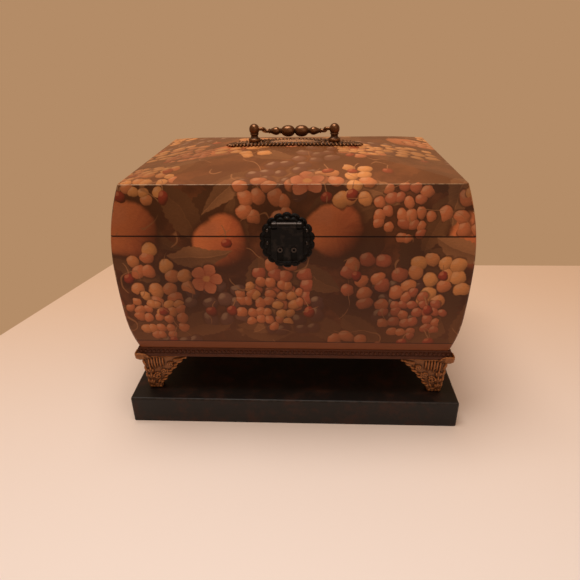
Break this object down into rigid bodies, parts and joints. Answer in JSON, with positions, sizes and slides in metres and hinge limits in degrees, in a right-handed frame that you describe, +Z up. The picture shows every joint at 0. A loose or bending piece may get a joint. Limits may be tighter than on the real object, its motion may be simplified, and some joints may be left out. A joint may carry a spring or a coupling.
{
  "type": "trinket box",
  "caption": "Keepsake box with bowed sides and an arched hinged lid, a drop handle, a round scalloped clasp, leaf-cast corner feet and a board to stand on.",
  "frame": {"origin": "middle of the board's underside, on the table", "axes": "+X along the box to its right seen from the front, +Y to the back where the hinges are, +Z up"},
  "size_m": [0.291, 0.2152, 0.2438],
  "materials": {
    "black_board": "satin black paint with worn edges",
    "screw_steel": "zinc-plated",
    "gilt_casting": "aged copper-gilt over cast leaf relief",
    "carved_moulding": "red-brown stain, beaded",
    "bare_wood": "plain sanded board",
    "varnished_print": "paper print of fruit and leaves under gloss varnish",
    "velvet_lining": "short dark red pile",
    "hinge_brass": "satin, lightly aged",
    "black_metal": "black with a soft sheen",
    "dark_nail_metal": "dark, bright where rubbed",
    "antique_brass": "dark bronze-brown, rubbed on the beads"
  },
  "bodies": {
    "case": {"plinth": "black_board", "plinth_screws": "screw_steel", "foot_front_left": "gilt_casting", "foot_front_right": "gilt_casting", "foot_back_left": "gilt_casting", "foot_back_right": "gilt_casting", "foot_screws": "screw_steel", "base_moulding_front": "carved_moulding", "base_moulding_back": "carved_moulding", "base_moulding_left": "carved_moulding", "base_moulding_right": "carved_moulding", "case_bottom": "bare_wood", "case_front": "varnished_print", "case_back": "varnished_print", "case_left": "varnished_print", "case_right": "varnished_print", "case_floor_lining": "velvet_lining", "case_wall_lining": "velvet_lining", "hinge_case_leaf_left": "hinge_brass", "hinge_case_leaf_right": "hinge_brass", "hinge_pin_left": "hinge_brass", "hinge_pin_right": "hinge_brass", "hinge_case_screws": "screw_steel", "clasp_lower_plate": "black_metal", "clasp_studs": "dark_nail_metal", "clasp_lower_nails": "dark_nail_metal"},
    "lid": {"lid_front": "varnished_print", "lid_back": "varnished_print", "lid_left": "varnished_print", "lid_right": "varnished_print", "lid_top": "varnished_print", "lid_wall_lining": "velvet_lining", "lid_top_lining": "velvet_lining", "hinge_lid_leaf_left": "hinge_brass", "hinge_lid_leaf_right": "hinge_brass", "hinge_lid_screws": "screw_steel", "clasp_upper_plate": "black_metal", "clasp_pin": "black_metal", "clasp_upper_nails": "dark_nail_metal", "handle_plate": "antique_brass", "handle_post_left": "antique_brass", "handle_post_right": "antique_brass", "handle_screws": "screw_steel"},
    "clasp_flap": {"clasp_flap": "black_metal"},
    "handle_bail": {"handle_bail": "antique_brass"}
  },
  "joints": [
    {"name": "lid_hinge", "type": "hinge", "parent": "case", "child": "lid", "pos_m": [0, 0.10212, 0.1766], "axis": [-1, 0, 0], "range_deg": [0, 95]},
    {"name": "clasp_hinge", "type": "hinge", "parent": "lid", "child": "clasp_flap", "pos_m": [-0.0025, -0.10189, 0.1865], "axis": [-1, 0, 0], "range_deg": [0, 175]},
    {"name": "handle_hinge", "type": "hinge", "parent": "lid", "child": "handle_bail", "pos_m": [0, 0, 0.2394], "axis": [1, 0, 0], "range_deg": [0, 212.31]}
  ]
}
